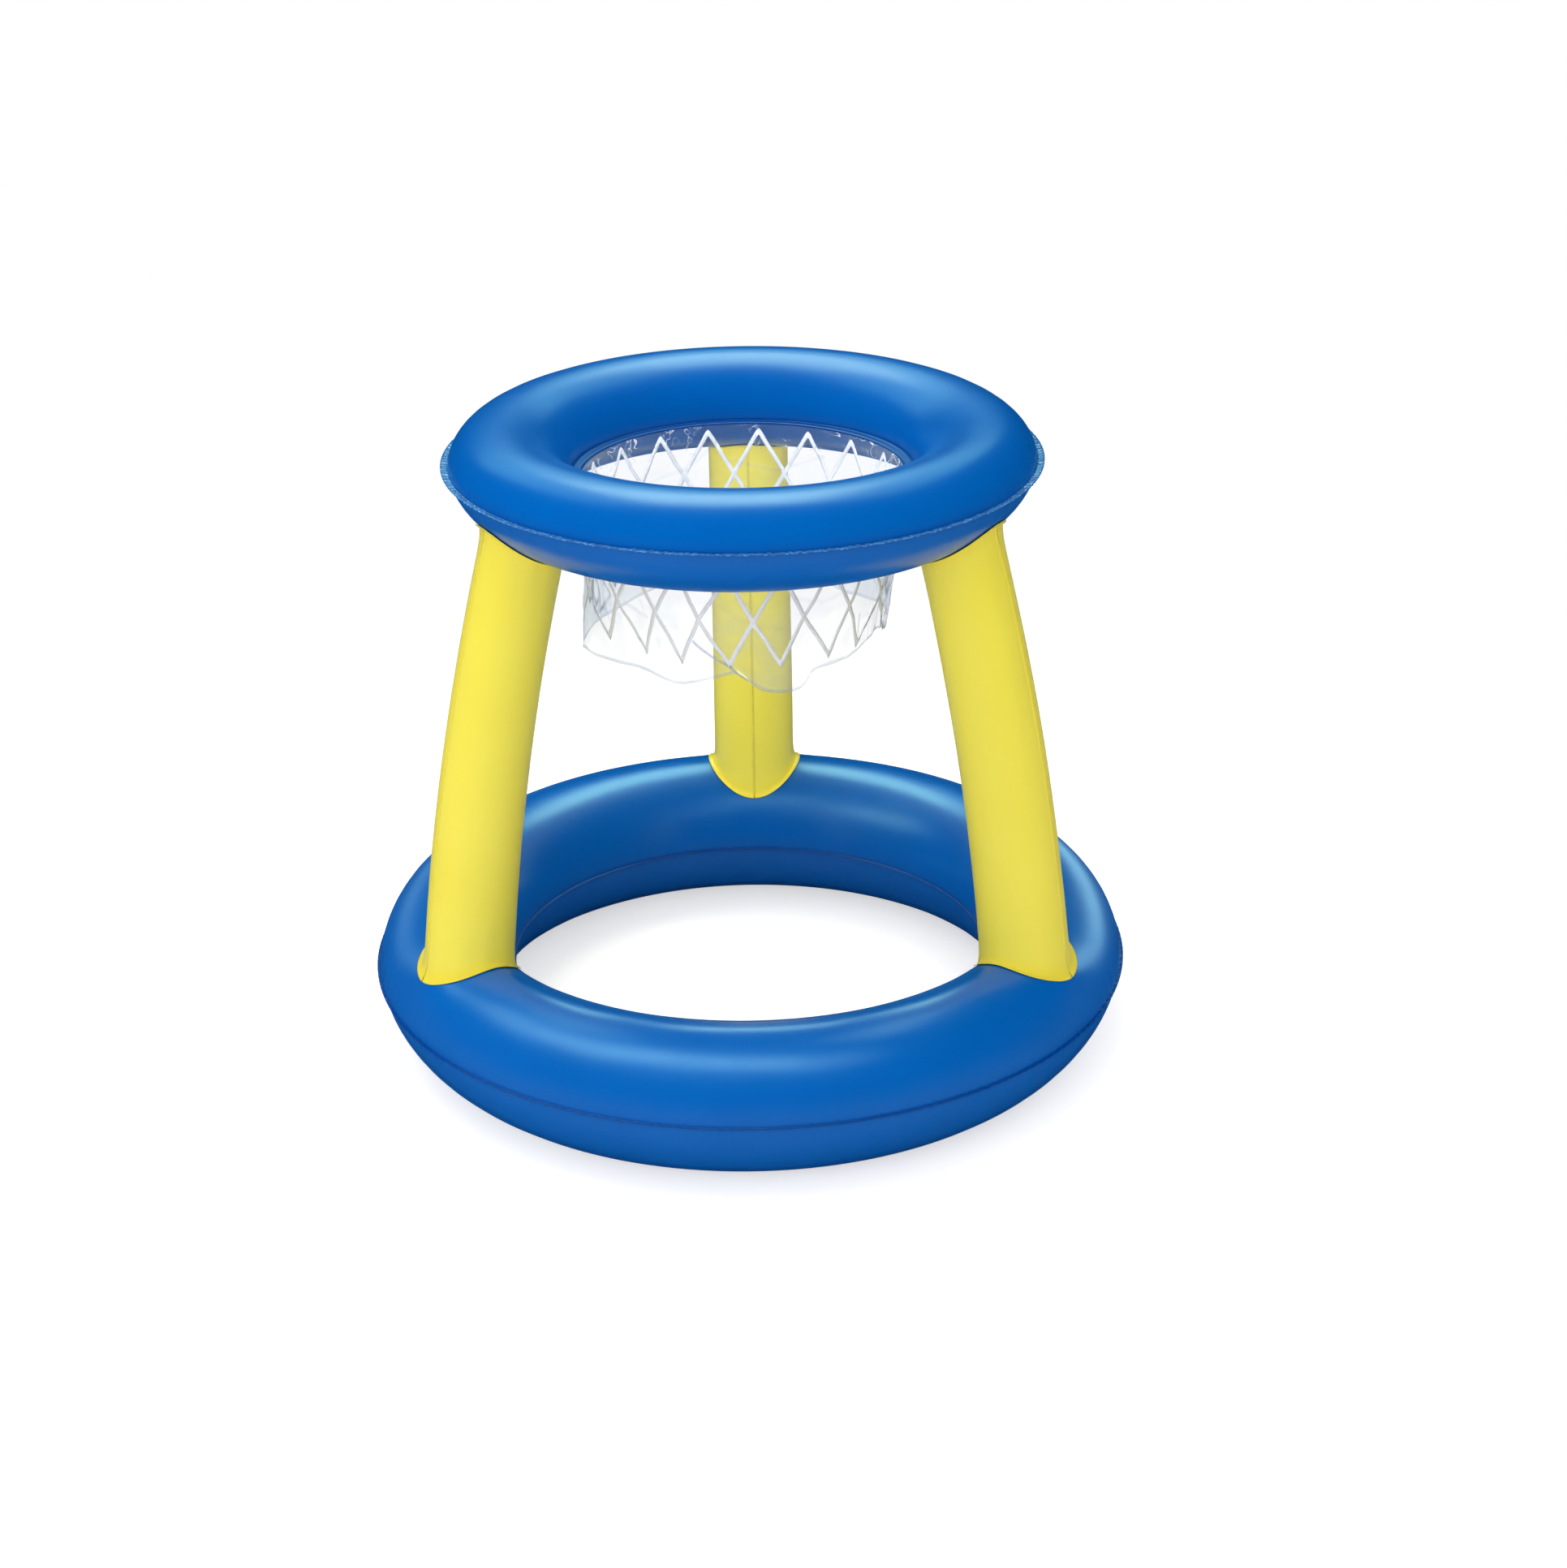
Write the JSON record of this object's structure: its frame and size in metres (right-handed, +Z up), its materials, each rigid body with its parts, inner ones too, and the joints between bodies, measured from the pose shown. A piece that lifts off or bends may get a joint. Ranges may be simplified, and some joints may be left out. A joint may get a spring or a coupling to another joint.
{
  "type": "floating basketball hoop",
  "caption": "Inflatable pool basketball hoop: a wide floating base ring, splayed legs, a hoop ring and a clear film net, with push-in air valves.",
  "frame": {"origin": "on the floor, under the middle of the base ring", "axes": "+Z up through the hoop, +Y towards the back leg, +X to the right as seen in the picture"},
  "size_m": [0.61, 0.61, 0.514],
  "materials": {
    "blue_vinyl": "satin-gloss sheet vinyl, saturated blue",
    "yellow_vinyl": "satin-gloss sheet vinyl, slightly translucent yellow",
    "clear_film": "clear glossy vinyl film, lightly crumpled",
    "white_print": "opaque white screen print",
    "valve_vinyl": "soft moulded vinyl, milky clear"
  },
  "bodies": {
    "float_frame": {"base_ring_upper_skin": "blue_vinyl", "base_ring_lower_skin": "blue_vinyl", "hoop_ring_upper_skin": "blue_vinyl", "hoop_ring_lower_skin": "blue_vinyl", "back_leg_left_panel": "yellow_vinyl", "back_leg_right_panel": "yellow_vinyl", "left_leg_left_panel": "yellow_vinyl", "left_leg_right_panel": "yellow_vinyl", "right_leg_left_panel": "yellow_vinyl", "right_leg_right_panel": "yellow_vinyl", "net_film": "clear_film", "net_print": "white_print", "base_valve_flange": "valve_vinyl", "hoop_valve_flange": "valve_vinyl"},
    "base_stem": {"base_valve_stem": "valve_vinyl"},
    "base_plug": {"base_valve_plug": "valve_vinyl"},
    "base_flap": {"base_valve_check_flap": "valve_vinyl"},
    "hoop_stem": {"hoop_valve_stem": "valve_vinyl"},
    "hoop_plug": {"hoop_valve_plug": "valve_vinyl"},
    "hoop_flap": {"hoop_valve_check_flap": "valve_vinyl"}
  },
  "joints": [
    {"name": "base_stem_slide", "type": "slide", "parent": "float_frame", "child": "base_stem", "axis": [-0.4095, 0.7093, 0.5738], "range_m": [0, 0.008]},
    {"name": "base_plug_hinge", "type": "hinge", "parent": "base_stem", "child": "base_plug", "pos_m": [-0.14961, 0.25914, 0.09056], "axis": [-0.866, -0.5, 0], "range_deg": [0, 150]},
    {"name": "base_flap_hinge", "type": "hinge", "parent": "base_stem", "child": "base_flap", "pos_m": [-0.14159, 0.24524, 0.08384], "axis": [0.866, 0.5, 0], "range_deg": [0, 60], "stiffness_Nm_per_rad": 0.0001, "springref_deg": -17.19},
    {"name": "hoop_stem_slide", "type": "slide", "parent": "float_frame", "child": "hoop_stem", "axis": [-0.3004, 0.5203, -0.7994], "range_m": [0, 0.008]},
    {"name": "hoop_plug_hinge", "type": "hinge", "parent": "hoop_stem", "child": "hoop_plug", "pos_m": [-0.10734, 0.18591, 0.45142], "axis": [0.866, 0.5, 0], "range_deg": [0, 150]},
    {"name": "hoop_flap_hinge", "type": "hinge", "parent": "hoop_stem", "child": "hoop_flap", "pos_m": [-0.10075, 0.1745, 0.46278], "axis": [-0.866, -0.5, 0], "range_deg": [0, 60], "stiffness_Nm_per_rad": 0.0001, "springref_deg": -17.19}
  ]
}
